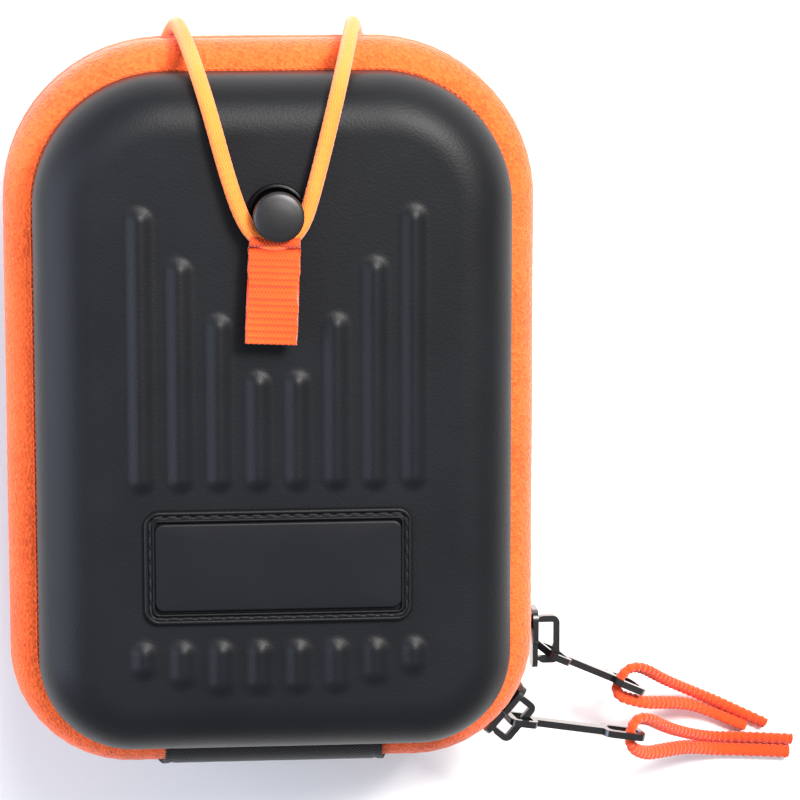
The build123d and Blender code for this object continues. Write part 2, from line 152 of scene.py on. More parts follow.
class CaseSizes(bpy.types.PropertyGroup):
    """Sizes that change the finish and not the fit, in millimetres."""

    rib_height: bpy.props.FloatProperty(
        name="Rib height", description="Height of the moulded ribs", default=RIB_T, min=0.2, max=2.0
    )
    rib_width: bpy.props.FloatProperty(
        name="Rib width", description="Width of a rib at its foot", default=6.4, min=3.0, max=7.0
    )
    stitch_length: bpy.props.FloatProperty(
        name="Stitch length", description="Length of one stitch", default=2.1, min=1.0, max=4.0
    )


# ======================================================================= materials
def linear(hex_colour):
    """An sRGB hex value as linear RGBA: the sRGB curve's inverse on each channel."""
    srgb = np.array([int(hex_colour[i:i + 2], 16) / 255 for i in (0, 2, 4)])
    rgb = np.where(srgb <= 0.04045, srgb / 12.92, ((srgb + 0.055) / 1.055) ** 2.4)
    return (*rgb, 1.0)


def add(tree, kind, settings=None, links=None):
    """Add a node: settings by socket or property name, links as socket name to output."""
    made = tree.nodes.new(kind)
    for key, value in (settings or {}).items():
        if isinstance(key, str) and hasattr(made, key):
            setattr(made, key, value)
        else:
            made.inputs[key].default_value = value
    for key, source in (links or {}).items():
        tree.links.new(source, made.inputs[key])
    return made


def finish_material(name, colour, roughness, **sockets):
    """A material with its Principled shader, whose plain sockets are set by name."""
    material = bpy.data.materials.new(name)
    material.use_nodes = True
    tree = material.node_tree
    shader = tree.nodes["Principled BSDF"]
    shader.inputs["Base Color"].default_value = linear(colour)
    shader.inputs["Roughness"].default_value = roughness
    for socket, value in sockets.items():
        shader.inputs[socket.replace("_", " ")].default_value = value
    return material, tree, shader


def shade_colour(tree, shader, factor, dark, light):
    """Mix two colours by a factor and give them to the shader."""
    mix = add(tree, "ShaderNodeMix", {"data_type": "RGBA"}, {0: factor})
    mix.inputs[6].default_value, mix.inputs[7].default_value = linear(dark), linear(light)
    tree.links.new(mix.outputs[2], shader.inputs["Base Color"])


def bump(tree, shader, height, distance, strength=1.0, below=None):
    """Raise the surface by a height pattern, with distance in metres."""
    links = {"Height": height}
    if below is not None:
        links["Normal"] = below
    made = add(tree, "ShaderNodeBump", {"Strength": strength, "Distance": distance}, links)
    tree.links.new(made.outputs["Normal"], shader.inputs["Normal"])
    return made.outputs["Normal"]


def moulded_skin(name, colour, light, roughness, grain_mm=0.55, depth=0.00004):
    """Polyurethane skin heat-pressed on foam: a fine pebble grain and a satin gloss."""
    material, tree, shader = finish_material(name, colour, roughness, Specular_IOR_Level=0.17)
    place = add(tree, "ShaderNodeTexCoord").outputs["Object"]
    cells = add(tree, "ShaderNodeTexVoronoi", {"Scale": 1000 / grain_mm}, {"Vector": place})
    cloud = add(
        tree, "ShaderNodeTexNoise", {"Scale": 42.0, "Detail": 5.0, "Roughness": 0.6}, {"Vector": place}
    )
    shade_colour(tree, shader, cloud.outputs["Fac"], colour, light)
    worn = add(
        tree, "ShaderNodeMapRange", {"To Min": roughness - 0.06, "To Max": roughness + 0.08},
        {"Value": cloud.outputs["Fac"]},
    )
    tree.links.new(worn.outputs["Result"], shader.inputs["Roughness"])
    soft = bump(tree, shader, cloud.outputs["Fac"], 0.0002, 0.3)
    bump(tree, shader, cells.outputs["Distance"], depth, 0.55, soft)
    return material


def cloth(name, dark, light, along_mm, across_mm, depth, roughness=0.85, sheen=0.3):
    """Woven or knitted cloth on its UV map in metres: crossing waves of two thread pitches.

    The threads are drawn about as coarse as they need to be to show.
    """
    material, tree, shader = finish_material(name, light, roughness, Sheen_Weight=sheen)
    shader.inputs["Sheen Roughness"].default_value = 0.45
    shader.inputs["Specular IOR Level"].default_value = 0.25
    uv = add(tree, "ShaderNodeUVMap").outputs["UV"]
    split = add(tree, "ShaderNodeSeparateXYZ", None, {0: uv})
    waves = []
    for axis, pitch in (("X", along_mm), ("Y", across_mm)):
        turn = add(
            tree, "ShaderNodeMath", {"operation": "MULTIPLY", 1: 2000 * math.pi / pitch},
            {0: split.outputs[axis]},
        )
        waves.append(add(tree, "ShaderNodeMath", {"operation": "SINE"}, {0: turn.outputs[0]}))
    weave = add(
        tree, "ShaderNodeMath", {"operation": "MULTIPLY"},
        {0: waves[0].outputs[0], 1: waves[1].outputs[0]},
    )
    thread_height_and_groove_shade = add(tree, "ShaderNodeMapRange", {"From Min": -1.0}, {"Value": weave.outputs[0]})
    place = add(tree, "ShaderNodeTexCoord").outputs["Object"]
    fuzz = add(tree, "ShaderNodeTexNoise", {"Scale": 1500.0, "Detail": 3.0}, {"Vector": place})
    cloud = add(tree, "ShaderNodeTexNoise", {"Scale": 60.0, "Detail": 3.0}, {"Vector": place})
    # painted shade: the dark colour fills the low parts between the threads, and the cloud adds random tone
    # on top
    blend = add(
        tree, "ShaderNodeMath", {"operation": "MULTIPLY_ADD", 1: 0.45},
        {0: thread_height_and_groove_shade.outputs["Result"], 2: cloud.outputs["Fac"]},
    )
    shade_colour(tree, shader, blend.outputs[0], dark, light)
    fine = bump(tree, shader, fuzz.outputs["Fac"], 0.00008, 0.5)
    bump(tree, shader, thread_height_and_groove_shade.outputs["Result"], depth, 0.9, fine)
    return material


def knitted(name, dark, light):
    """Stretch knit with a napped face: small loops, each of its own shade, and a rough bump.

    The loops are about 0.6 mm wide, coarser than the real knit's, so that they show.
    """
    material, tree, shader = finish_material(name, light, 0.9, Sheen_Weight=0.25)
    shader.inputs["Specular IOR Level"].default_value = 0.2
    place = add(tree, "ShaderNodeTexCoord").outputs["Object"]
    loops = add(tree, "ShaderNodeTexVoronoi", {"Scale": 1600.0}, {"Vector": place})
    shade = add(tree, "ShaderNodeSeparateXYZ", None, {0: loops.outputs["Color"]})
    cloud = add(tree, "ShaderNodeTexNoise", {"Scale": 70.0, "Detail": 4.0}, {"Vector": place})
    blend = add(
        tree, "ShaderNodeMath", {"operation": "MULTIPLY_ADD", 1: 0.55},
        {0: shade.outputs["X"], 2: cloud.outputs["Fac"]},
    )
    shade_colour(tree, shader, blend.outputs[0], dark, light)
    fuzz = add(tree, "ShaderNodeTexNoise", {"Scale": 2600.0, "Detail": 3.0}, {"Vector": place})
    fine = bump(tree, shader, fuzz.outputs["Fac"], 0.0001, 0.6)
    bump(tree, shader, loops.outputs["Distance"], 0.00025, 0.9, fine)
    return material


def hard_gloss(name, colour, light, roughness, metallic=0.0, coat=0.0):
    """Moulded nylon, stoved paint or plated metal: faint orange peel and handling marks."""
    material, tree, shader = finish_material(
        name, colour, roughness, Metallic=metallic, Coat_Weight=coat
    )
    place = add(tree, "ShaderNodeTexCoord").outputs["Object"]
    peel = add(tree, "ShaderNodeTexNoise", {"Scale": 900.0, "Detail": 2.0}, {"Vector": place})
    marks = add(tree, "ShaderNodeTexNoise", {"Scale": 180.0, "Detail": 6.0}, {"Vector": place})
    shade_colour(tree, shader, marks.outputs["Fac"], colour, light)
    worn = add(
        tree, "ShaderNodeMapRange", {"To Min": roughness - 0.05, "To Max": roughness + 0.1},
        {"Value": marks.outputs["Fac"]},
    )
    tree.links.new(worn.outputs["Result"], shader.inputs["Roughness"])
    bump(tree, shader, peel.outputs["Fac"], 0.00003, 0.4)
    return material


_made = {}


def material_for(finish):
    """The finish of that name, made once."""
    if finish in _made:
        return _made[finish]
    colours = bpy.context.scene.case_colours
    makers = {
        # pressed skin over foam reads as satin black with a cool sheen on its bends
        "shell_skin": lambda: moulded_skin("pressed_polyurethane_skin", colours.skin, "14161A", 0.46),
        # soft rubber is the dullest black, with a crisp moulded edge
        "badge_rubber": lambda: moulded_skin("moulded_soft_rubber", "0B0C0E", "111215", 0.45, 0.4),
        # film is the smoothest black and takes a broad, even sheen
        "badge_panel": lambda: moulded_skin("satin_film", "121317", "16171B", 0.42, 0.3, 0.000012),
        # stretch knit is matt and speckled, each loop of its own shade
        "gusset_knit": lambda: knitted("stretch_knit", "B93A10", colours.knit),
        # webbing shows weft ribs straight across, with painted shade between them
        "tab_webbing": lambda: cloth("polyester_webbing", "A82F08", colours.webbing, 1.25, 0.7, 0.0002),
        # the stretched cover shows fine lines that run along the cord
        "elastic_cord": lambda: cloth("braided_elastic_cover", "E4631C", colours.elastic, 0.6, 3.4, 0.00008),
        # the braid is the deepest orange, with painted red shade in its grooves
        "braid": lambda: cloth("ribbed_braid", "A82806", colours.braid, 0.9, 0.9, 0.00016),
        # tight nylon weave is flat black with almost no sheen
        "hinge_strip": lambda: cloth("woven_nylon_strip", "0B0B0D", "17181B", 0.9, 0.9, 0.0001, 0.7, 0.1),
        # belt webbing has a coarse, dark rib
        "strap_webbing": lambda: cloth("nylon_webbing", "0E0E10", "1C1D20", 1.2, 1.6, 0.0002, 0.7, 0.1),
        # brushed fleece is matt and paler at a glancing angle
        "lining": lambda: cloth("brushed_fleece", "121315", "1E1F22", 0.7, 0.7, 0.0001, 0.95, 0.5),
        # bonded thread is a hard, fine black line
        "thread": lambda: cloth("bonded_thread", "060607", "141518", 0.4, 0.4, 0.00005, 0.6, 0.1),
        # moulded nylon is black with a soft broad highlight
        "knob_cap": lambda: hard_gloss("moulded_nylon", "0C0C0E", "131316", 0.4),
        # monofilament is a slightly clear, shiny orange
        "zip_coil": lambda: hard_gloss("nylon_monofilament", "B8400F", "D8561D", 0.4),
        # plated steel mirrors darkly on its rolled rim
        "dark_metal": lambda: hard_gloss("black_plated_steel", "121214", "1C1C1F", 0.3, 0.85),
        # stoved paint on cast zinc is glossy black with small sharp highlights
        "slider_metal": lambda: hard_gloss("stoved_black_paint", "0C0C0E", "151518", 0.24, 0.0, 0.6),
        # the pulls carry the same paint over a stamped bar
        "pull_metal": lambda: hard_gloss("stoved_black_paint_pull", "0B0B0D", "131316", 0.22, 0.0, 0.6),
    }
    _made[finish] = makers[finish]()
    return _made[finish]


# ======================================================================= meshes
def mesh_piece(name, points, faces, uv=None, finish=None, body=None, stands_for=(), smooth=True):
    """A piece from points in millimetres and quads; uv is given in metres per face corner."""
    data = bpy.data.meshes.new(name)
    data.from_pydata((np.asarray(points) * MM).tolist(), [], [list(f) for f in faces])
    if uv is not None:
        layer = data.uv_layers.new(name="UVMap")
        layer.data.foreach_set("uv", np.asarray(uv, np.float32).ravel())
    work = bmesh.new()
    work.from_mesh(data)
    bmesh.ops.recalc_face_normals(work, faces=work.faces[:])
    work.to_mesh(data)
    work.free()
    data.polygons.foreach_set("use_smooth", np.full(len(data.polygons), smooth))
    piece = bpy.data.objects.new(name, data)
    bpy.context.scene.collection.objects.link(piece)
    if finish:
        data.materials.append(material_for(finish))
    if body:
        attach(piece, body)
    if stands_for:
        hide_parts(*stands_for)
    return piece


def grid_faces(rows, columns, wrap_rows, wrap_columns):
    """Quads of a rows by columns grid, as four index arrays, and each corner's step."""
    i = np.arange(rows if wrap_rows else rows - 1)
    j = np.arange(columns if wrap_columns else columns - 1)
    i, j = (a.ravel() for a in np.meshgrid(i, j, indexing="ij"))
    steps = np.stack([np.stack([i, j], 1), np.stack([i, j + 1], 1),
                      np.stack([i + 1, j + 1], 1), np.stack([i + 1, j], 1)], 1)
    index = (steps[..., 0] % rows) * columns + steps[..., 1] % columns
    return index, steps


def grid_piece(name, points, wrap_rows=False, wrap_columns=False, caps=False, u=None, v=None, **rest):
    """A surface from a rows by columns by 3 grid; u and v are lengths along it in mm.

    caps closes the first and last rows, each with one face.
    """
    rows, columns = points.shape[:2]
    index, steps = grid_faces(rows, columns, wrap_rows, wrap_columns)
    u = np.arange(columns + 1.0) if u is None else np.append(u, 2 * u[-1] - u[-2])
    v = np.arange(rows + 1.0) if v is None else np.append(v, 2 * v[-1] - v[-2])
    uv = np.stack([u[steps[..., 1]], v[steps[..., 0]]], -1).reshape(-1, 2) * MM
    faces = index.tolist()
    if caps:
        ends = [list(range(columns)), list(range((rows - 1) * columns, rows * columns))]
        faces += ends
        uv = np.vstack([uv, np.zeros((2 * columns, 2))])
    return mesh_piece(name, points.reshape(-1, 3), faces, uv, **rest)


def rounded_rectangle(width, height, top_r, bottom_r, count):
    """Points, outward normals and lengths round a rectangle with rounded corners.

    The heading turns evenly along each corner and not at all between, and the points
    are the running sum of the heading's steps.
    """
    side, top, bottom = height - top_r - bottom_r, width - 2 * top_r, width - 2 * bottom_r
    quarter = math.pi / 2
    runs = [side, quarter * top_r, top, quarter * top_r, side, quarter * bottom_r, bottom,
            quarter * bottom_r]
    turns = [0, quarter] * 4
    marks, angles = np.append(0, np.cumsum(runs)), np.append(0, np.cumsum(turns))
    fine = np.linspace(0, marks[-1], 20001)
    heading = np.interp((fine[1:] + fine[:-1]) / 2, marks, angles)
    step = fine[1]
    x = width / 2 + np.append(0, np.cumsum(-np.sin(heading) * step))
    y = -height / 2 + bottom_r + np.append(0, np.cumsum(np.cos(heading) * step))
    along = np.linspace(0, marks[-1], count, endpoint=False)
    theta = np.interp(along, marks, angles)
    spots = np.stack([np.interp(along, fine, x), np.interp(along, fine, y)], 1)
    return spots, np.stack([np.cos(theta), np.sin(theta)], 1), along


def carried(spots, normals, outs, heights):
    """Rings of points: a profile of distances out and heights carried round an outline."""
    outs, heights = np.asarray(outs, float), np.asarray(heights, float)
    flat = spots[None] + outs[:, None, None] * normals[None]
    tall = np.broadcast_to(heights[:, None, None], (*flat.shape[:2], 1))
    return np.concatenate([flat, tall], -1)


def arc(centre, radius, start, end, count):
    """Points of an arc, angles in degrees."""
    turn = np.radians(np.linspace(start, end, count))
    return np.stack([centre[0] + radius * np.cos(turn), centre[1] + radius * np.sin(turn)], 1)


def smooth_route(points):
    """The points of a NURBS curve of order 3 whose control points are a route's, in mm."""
    line = bpy.data.curves.new("route", "CURVE")
    line.dimensions, line.resolution_u = "3D", 24
    spline = line.splines.new("NURBS")
    spline.points.add(len(points) - 1)
    spline.points.foreach_set("co", np.append(points, np.ones((len(points), 1)), 1).ravel())
    spline.order_u, spline.use_endpoint_u = 3, True
    holder = bpy.data.objects.new("route", line)
    bpy.context.scene.collection.objects.link(holder)
    data = bpy.data.meshes.new_from_object(holder)
    spots = np.empty(len(data.vertices) * 3)
    data.vertices.foreach_get("co", spots)
    bpy.data.objects.remove(holder)
    return spots.reshape(-1, 3)


def even_steps(spots, step):
    """The same line with its points a step apart."""
    along = np.append(0, np.cumsum(np.linalg.norm(np.diff(spots, axis=0), axis=1)))
    marks = np.linspace(0, along[-1], int(along[-1] / step) + 1)
    return np.stack([np.interp(marks, along, spots[:, k]) for k in range(3)], 1), marks


def cord_frames(path, side):
    """Tangents and two unit vectors across a path, carried along it without twist."""
    tangent = np.gradient(path, axis=0)
    tangent /= np.linalg.norm(tangent, axis=1, keepdims=True)
    across = np.empty_like(path)
    held = np.array(side, float)
    for k, t in enumerate(tangent):
        held = held - (held @ t) * t
        held /= np.linalg.norm(held)
        across[k] = held
    return tangent, across, np.cross(tangent, across)


def cord_piece(name, route, wide, thick, relief, side, step=0.3, sides=22, ends=0.7, **rest):
    """A cord along a route: an ellipse wide by thick whose surface relief(s, angle) raises."""
    path, along = even_steps(smooth_route(route), step)
    tangent, across, up = cord_frames(path, side)
    turn = np.linspace(0, 2 * math.pi, sides, endpoint=False)
    swell = 1 + relief(along[:, None], turn[None]) / (wide / 2)
    # the ends close over a short round, as where a hot knife has sealed them
    near = np.minimum(along, along[-1] - along)
    swell = swell * np.sqrt(np.clip(1 - np.clip(1 - near / ends, 0, 1) ** 2 * 0.75, 0, 1))[:, None]
    ring = (across[:, None] * (np.cos(turn) * wide / 2)[None, :, None]
            + up[:, None] * (np.sin(turn) * thick / 2)[None, :, None]) * swell[..., None]
    points = path[:, None] + ring
    girth = turn * (wide + thick) / 4
    piece = grid_piece(name, points, wrap_columns=True, caps=True, u=girth, v=along, **rest)
    return piece, path, along[-1]


def lumps(name, places, along, up, size, **rest):
    """Many like stitches: an ellipsoid of size (length, width, height) at each place."""
    a = np.linspace(0, math.pi, 7)[1:-1]
    b = np.linspace(0, 2 * math.pi, 8, endpoint=False)
    unit = np.stack([np.repeat(np.cos(a)[:, None], 8, 1), np.sin(a)[:, None] * np.cos(b),
                     np.sin(a)[:, None] * np.sin(b)], -1).reshape(-1, 3)
    unit = np.vstack([[1, 0, 0], unit, [-1, 0, 0]]) * np.array(size) / 2
    aside = np.cross(up, along)
    points = (places[:, None] + unit[None, :, :1] * along[:, None]
              + unit[None, :, 1:2] * aside[:, None] + unit[None, :, 2:] * up[:, None])
    ring, _ = grid_faces(5, 8, False, True)
    k = np.arange(8)
    faces = [list(f + 1) for f in ring]
    faces += [[0, 1 + i, 1 + (i + 1) % 8] for i in k]
    faces += [[41, 33 + (i + 1) % 8, 33 + i] for i in k]
    every = [[n * 42 + int(i) for i in f] for n in range(len(places)) for f in faces]
    return mesh_piece(name, points.reshape(-1, 3), every, None, **rest)


def turned(name, profile, centre, count=72, **rest):
    """A turned piece: a closed profile of radii and heights spun about a vertical axis."""
    turn = np.linspace(0, 2 * math.pi, count, endpoint=False)
    r, z = np.asarray(profile, float).T
    points = np.stack([centre[0] + r[:, None] * np.cos(turn), centre[1] + r[:, None] * np.sin(turn),
                       np.broadcast_to(z[:, None], (len(r), count))], -1)
    return grid_piece(name, points, wrap_columns=True, caps=True, **rest)


# ======================================================================= shells
def rib_relief(x, y, height, width):
    """Height of the moulded ribs: half a cosine across each rib and round its ends."""
    relief = np.zeros_like(x)
    for i in range(8):
        k = i // 2
        middle = (k + 0.5) * RIB_PITCH * (1 if i % 2 else -1)
        for top, foot in ((RIB_TOPS[k], LONG_RIB_FOOT), (SHORT_RIB_TOP, RIB_FEET[k])):
            cap = width / 2 - 0.4
            off = np.hypot(x - middle, y - np.clip(y, foot + cap, top - cap))
            ridge = np.cos(np.clip(off / (width / 2), 0, 1) * math.pi) * 0.5 + 0.5
            relief = np.maximum(relief, height * ridge)
    return relief


def shell_piece(name, side, inset, wall, ribs, loops, around, **rest):
    """A moulded tray: flat face, round edge, wall, rim, and the same inside.

    side is 1 for the lid. Flat rings shrink to the middle; the others are offset inward.
    """
    spots, normals, along = rounded_rectangle(SHELL_W, SHELL_H, TOP_R, BOTTOM_R, around)
    face, rim = (FACE_Z, RIM_Z) if side == 1 else (BACK_Z, REAR_RIM_Z)
    rings = []
    for depth, order in ((inset, 1), (inset + wall, -1)):
        level = face - side * depth
        flat = spots - normals * EDGE_R
        shrink = np.linspace(0.012, 1, loops if order == 1 else 14)
        plane = np.concatenate([flat[None] * shrink[:, None, None],
                                np.full((len(shrink), around, 1), level)], -1)
        if order == 1 and ribs:
            plane[..., 2] += rib_relief(plane[..., 0], plane[..., 1], *ribs)
        bend = arc((-EDGE_R, 0), EDGE_R - depth, 90, 0, 18)[1:]
        edge = carried(spots, normals, bend[:, 0], face - side * (EDGE_R - bend[:, 1]))
        lip = 0.35
        outs = [-depth, -depth, -depth - lip * 0.3 * order, -depth - lip * order]
        wall_z = [rim + side * 3, rim + side * lip, rim + side * lip * 0.3, rim]
        wall_rings = carried(spots, normals, outs, wall_z)
        half = np.concatenate([plane, edge, wall_rings])
        rings.append(half if order == 1 else half[::-1])
    points = np.concatenate(rings)
    down = np.append(0, np.cumsum(np.linalg.norm(np.diff(points[:, 0], axis=0), axis=1)))
    return grid_piece(name, points, wrap_columns=True, caps=True, u=along, v=down, **rest)


class CASE_OT_shells(bpy.types.Operator):
    """Moulded front and rear shells and their fleece linings"""

    bl_idname = "case.shells"
    bl_label = "Shells and linings"

    def execute(self, context):
        sizes = context.scene.case_sizes
        shell_piece("front_shell_skin", 1, 0, WALL, (sizes.rib_height, sizes.rib_width), 105, 520,
                    finish="shell_skin", body="lid", stands_for=["front_shell"])
        shell_piece("rear_shell_skin", -1, 0, WALL, None, 16, 360,
                    finish="shell_skin", body="root", stands_for=["rear_shell"])
        for name, side, body in (("front", 1, "lid"), ("rear", -1, "root")):
            shell_piece(f"{name}_fleece", side, WALL + 0.02, LINING, None, 16, 300,
                        finish="lining", body=body, stands_for=[f"{name}_lining"])
        return {"FINISHED"}


# ======================================================================= gusset and zip
def gusset_profile(side):
    """Closed section of half the gusset, as distances out and heights.

    It runs out from under the rim, a quarter circle over the bulge and straight down to
    the zip, then back along the same line moved in by the cloth's thickness.
    """
    centre, radius, thin = (BULGE - SHOULDER_R, SHOULDER_V), SHOULDER_R, TAPE
    outer, inner = arc(centre, radius, 90, 0, 12), arc(centre, radius - thin, 0, 90, 12)
    half = np.vstack([[(-FLANGE, RIM)], outer, [(BULGE, 2.2), (BULGE - 0.1, 0.45), (BULGE - 0.4, 0.3),
                      (BULGE - thin, 0.4)], inner, [(-FLANGE, 9.2)]])
    return half[:, 0], MID_Z + side * half[:, 1]


class CASE_OT_gusset(bpy.types.Operator):
    """Knitted gusset halves, with the row of stitches that holds each to its shell"""

    bl_idname = "case.gusset"
    bl_label = "Gusset"

    def execute(self, context):
        spots, normals, along = rounded_rectangle(SHELL_W, SHELL_H, TOP_R, BOTTOM_R, 900)
        for name, side, body in (("front", 1, "lid"), ("rear", -1, "root")):
            outs, heights = gusset_profile(side)
            points = carried(spots, normals, outs, heights)
            # the knit draws in a little at each stitch and puckers softly between
            pucker = 0.10 * np.sin(2 * math.pi * along / 2.9) + 0.12 * np.sin(along / 7.1 + 1.3 * side)
            share = np.clip((outs + 0.3) / BULGE, 0, 1) * np.clip(2.6 - outs / 2.4, 0, 1)
            points[..., :2] += (share[:, None] * pucker)[..., None] * normals[None]
            girth = np.append(0, np.cumsum(np.hypot(np.diff(outs), np.diff(heights))))
            grid_piece(f"{name}_gusset_knit", points, wrap_rows=True, wrap_columns=True, u=along,
                       v=girth, finish="gusset_knit", body=body, stands_for=[f"{name}_gusset"])
            spots_s, normals_s, _ = rounded_rectangle(SHELL_W, SHELL_H, TOP_R, BOTTOM_R, RIM_STITCHES)
            places = carried(spots_s, normals_s, [0.32], [MID_Z + side * 10.02])[0]
            heading = np.column_stack([-normals_s[:, 1], normals_s[:, 0], np.zeros(RIM_STITCHES)])
            tilt = np.column_stack([normals_s * 0.5, np.full(RIM_STITCHES, side * 0.86)])
            lumps(f"{name}_rim_stitching", places, heading, tilt, (1.0, 0.42, 0.4),
                  finish="gusset_knit", body=body)
        return {"FINISHED"}


class CASE_OT_zip(bpy.types.Operator):
    """The zip's coil on each tape, as one wound monofilament"""

    bl_idname = "case.zip"
    bl_label = "Zip coil"

    def execute(self, context):
        spots, normals, along = rounded_rectangle(SHELL_W, SHELL_H, TOP_R, BOTTOM_R, 4200)
        clear = (np.abs(spots[:, 0]) > leaf_high[0] + 1.5) | (spots[:, 1] > 0)
        start = int(np.argmax(~clear[len(clear) // 2:])) + len(clear) // 2
        order = np.roll(np.arange(len(clear)), -start)
        order = order[clear[order]]
        spots, normals = spots[order], normals[order]
        run = np.arange(len(order)) * (along[1] - along[0])
        for name, side, body in (("front", 1, "lid"), ("rear", -1, "root")):
            turn = 2 * math.pi * run / COIL_PITCH + (0 if side == 1 else math.pi)
            out = BULGE - TAPE - 0.72 + 0.5 * np.sin(turn)
            height = MID_Z + side * (1.0 + 0.52 * np.cos(turn))
            path = np.column_stack([spots + normals * out[:, None], height])
            tangent, across, up = cord_frames(path, (0, 0, 1))
            around = np.linspace(0, 2 * math.pi, 6, endpoint=False)
            points = path[:, None] + COIL_WIRE_R * (across[:, None] * np.cos(around)[None, :, None]
                                            + up[:, None] * np.sin(around)[None, :, None])
            grid_piece(f"{name}_coil_winding", points, wrap_columns=True, caps=True,
                       finish="zip_coil", body=body, stands_for=[f"{name}_zip_coil"])
        return {"FINISHED"}


class CASE_OT_hinge(bpy.types.Operator):
    """The woven hinge strip, one piece over both halves of the gusset"""

    bl_idname = "case.hinge"
    bl_label = "Hinge strip"

    def execute(self, context):
        centre, radius = (BULGE - 5.95, 4.0), 6.1
        lid = arc(centre, radius, 84, 0, 14)
        tray = arc((centre[0], -centre[1]), radius, 0, -84, 14)
        line = np.vstack([lid, [(centre[0] + radius, 2.0), (centre[0] + radius, 0.0),
                                (centre[0] + radius, -2.0)], tray])
        heading = np.gradient(line, axis=0)
        heading /= np.linalg.norm(heading, axis=1, keepdims=True)
        out = np.column_stack([-heading[:, 1], heading[:, 0]])
        outer = line + out * 0.62
        section = np.vstack([line, outer[::-1]])
        # the strip widens by 1.5 mm towards the fold and its ends are turned under
        across = np.concatenate([np.linspace(-1, -0.93, 5), np.linspace(-0.9, 0.9, 40),
                                 np.linspace(0.93, 1, 5)])
        width = 21.6 + 1.6 * np.exp(-((section[:, 1]) / 5.5) ** 2)
        x = across[None] * width[:, None]
        fold = 0.16 * np.exp(-((np.abs(across) - 0.93) / 0.018) ** 2)
        is_outer = np.arange(len(section)) >= len(line)
        lift = np.where(is_outer[:, None], 0.08 * (np.abs(across) > 0.93) - fold, 0)
        y = -(SHELL_H / 2) - section[:, :1] - lift
        z = np.broadcast_to(MID_Z + section[:, 1:], x.shape)
        points = np.stack([x, np.broadcast_to(y, x.shape), z], -1).transpose(1, 0, 2)
        girth = np.append(0, np.cumsum(np.linalg.norm(np.diff(section, axis=0), axis=1)))
        strip = grid_piece("hinge_strip_cloth", points, wrap_columns=True, caps=True, u=girth,
                           v=across * 22, finish="hinge_strip",
                           stands_for=["front_hinge_leaf", "rear_hinge_leaf"])
        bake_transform(strip)
        return {"FINISHED"}


# ======================================================================= badge and knob
class CASE_OT_badge(bpy.types.Operator):
    """The blank rubber badge: beaded frame, stitch lane, single stitches and panel"""

    bl_idname = "case.badge"
    bl_label = "Badge"

    def execute(self, context):
        middle = (badge_low + badge_high) / 2
        width, height = badge_high[0] - badge_low[0], badge_high[1] - badge_low[1]
        spots, normals, along = rounded_rectangle(width, height, 3.0, 3.0, 300)
        spots = spots + middle[:2]
        # bead, lane and inner bead, as distance in from the outline and height on the face
        section = np.array([(0.0, 0.0), (0.0, 0.7), (0.12, 1.0), (0.4, 1.2), (0.7, 1.15), (0.85, 0.85),
                            (0.95, 0.62), (1.35, 0.6), (1.6, 0.66), (1.72, 1.0), (1.9, 1.15),
                            (2.1, 1.0), (2.12, 0.0)])
        points = carried(spots, normals, -section[:, 0], FACE_Z + section[:, 1])
        grid_piece("badge_surround", points, wrap_rows=True, wrap_columns=True, u=along,
                   finish="badge_rubber", body="lid", stands_for=["badge_frame"])
        inner_w, inner_h = width - 4.1, height - 5.1
        rings, ring_normals, length = rounded_rectangle(inner_w, inner_h, 1.8, 1.8, 240)
        shrink = np.linspace(0.03, 1, 40)
        flat = (rings - ring_normals * 0.5)[None] * shrink[:, None, None]
        crown = FACE_Z + 1.02 - 0.16 * (shrink ** 4)
        top = np.concatenate([flat, np.broadcast_to(crown[:, None, None], (40, 240, 1))], -1)
        rim = arc((-0.5, 0.36), 0.5, 80, 0, 8)
        side = carried(rings, ring_normals, np.append(rim[:, 0], 0.0), FACE_Z + np.append(rim[:, 1], 0))
        points = np.concatenate([top, side])
        points[..., :2] += middle[:2]
        grid_piece("badge_film", points, wrap_columns=True, caps=True,
                   finish="badge_panel", body="lid", stands_for=["badge_panel"])
        pitch = context.scene.case_sizes.stitch_length
        lane_w, lane_h = width - 2.35, height - 2.35
        count = int((2 * (lane_w + lane_h) - 8) / (pitch + 0.5))
        spots, normals, _ = rounded_rectangle(lane_w, lane_h, 2.0, 2.0, count)
        places = np.column_stack([spots + middle[:2], np.full(count, FACE_Z + 0.72)])
        heading = np.column_stack([-normals[:, 1], normals[:, 0], np.full(count, 0.05)])
        up = np.tile([0.0, 0.0, 1.0], (count, 1))
        lumps("badge_stitches", places, heading, up, (pitch, 0.5, 0.46),
              finish="thread", body="lid", stands_for=["badge_stitching"])
        return {"FINISHED"}


class CASE_OT_knob(bpy.types.Operator):
    """The moulded knob and the dished metal washer under it"""

    bl_idname = "case.knob"
    bl_label = "Knob"

    def execute(self, context):
        centre = (0.0, KNOB_Y)
        base = np.vstack([[(1.75, FACE_Z), (5.55, FACE_Z)], arc((5.35, FACE_Z + 0.75), 0.45, -20, 100, 8),
                          arc((5.2, FACE_Z + 1.25), 0.28, 60, 175, 5), [(4.4, FACE_Z + 0.95),
                          (3.6, FACE_Z + 0.68), (2.6, FACE_Z + 0.6), (1.75, FACE_Z + 0.6)]])
        turned("knob_washer_dish", np.vstack([base, base[:1]]), centre, 96,
               finish="dark_metal", body="lid", stands_for=["knob_base"])
        top = knob_high[2]
        cap = np.vstack([[(0.05, knob_low[2]), (1.6, knob_low[2]), (1.6, FACE_Z + 0.66),
                          (2.2, FACE_Z + 0.66), (2.2, FACE_Z + 4.4), (2.6, FACE_Z + 5.2),
                          (3.4, FACE_Z + 5.6)], arc((4.25, FACE_Z + 6.35), 0.65, -90, 0, 8),
                         arc((4.0, top - 1.35), 0.9, 0, 62, 8),
                         [(3.6, top - 0.42), (2.6, top - 0.2), (1.4, top - 0.07), (0.05, top - 0.03)]])
        turned("knob_moulding", cap, centre, 96, finish="knob_cap", body="lid", stands_for=["knob"])
        return {"FINISHED"}


